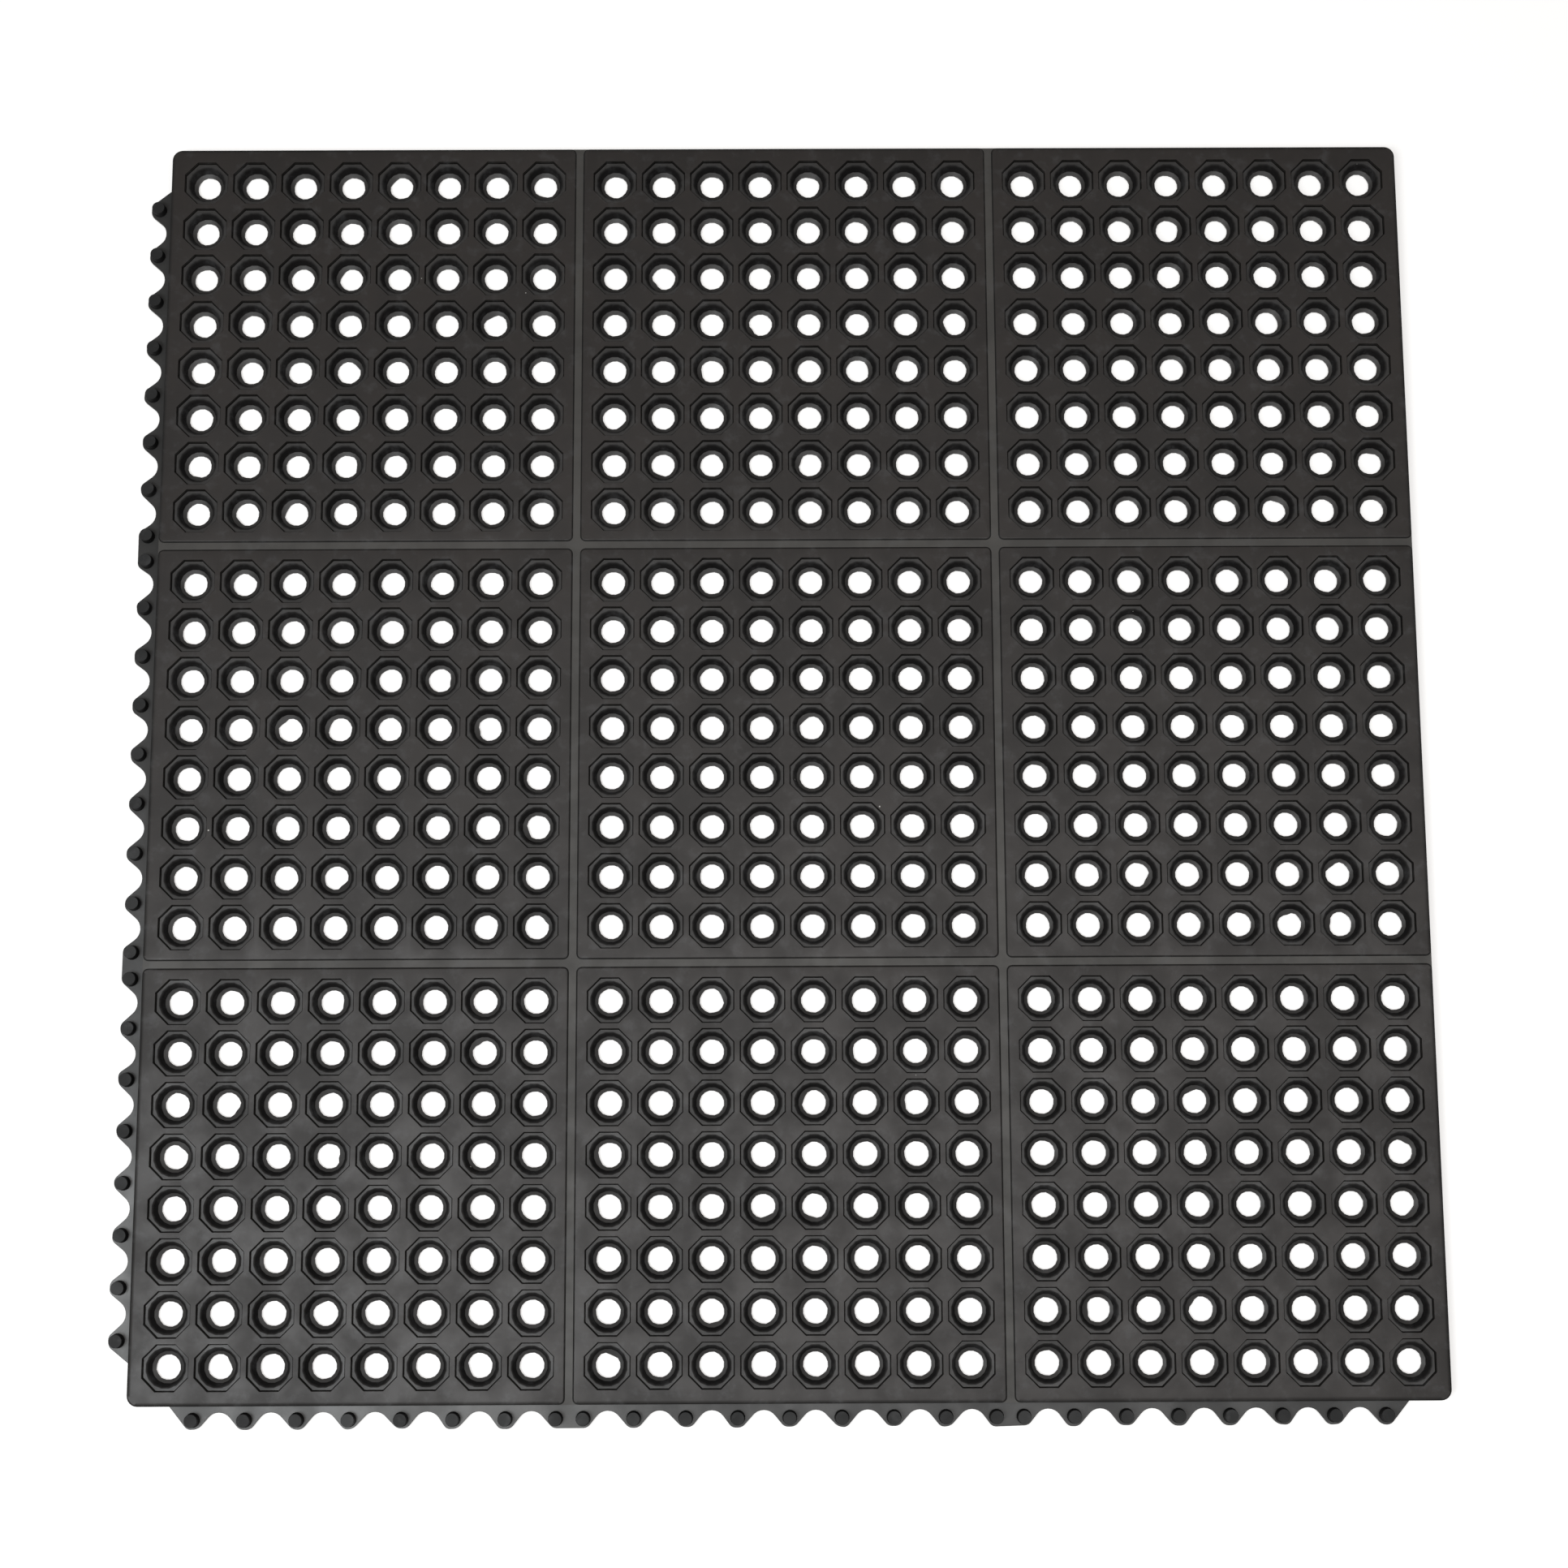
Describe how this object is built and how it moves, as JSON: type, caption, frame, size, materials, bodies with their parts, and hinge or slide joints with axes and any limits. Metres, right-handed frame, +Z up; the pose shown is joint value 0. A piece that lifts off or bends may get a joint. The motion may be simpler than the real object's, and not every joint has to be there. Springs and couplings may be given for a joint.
{
  "type": "drainage mat",
  "caption": "Square black rubber drainage mat with octagonal drain holes in grooved blocks and a scalloped, pegged flange on two edges that tucks under the next mat.",
  "frame": {"origin": "middle of the square body, on the underside", "axes": "+Z up through the standing face, +X towards the plain right edge, +Y towards the plain rear edge; the pegged flanges are on -X and -Y"},
  "size_m": [0.9309, 0.9309, 0.0127],
  "materials": {
    "rubber": "matte black moulded rubber, slightly glossier on the flange"
  },
  "bodies": {
    "root": {"front_block_row": "rubber", "middle_block_row": "rubber", "rear_block_row": "rubber"}
  },
  "joints": []
}
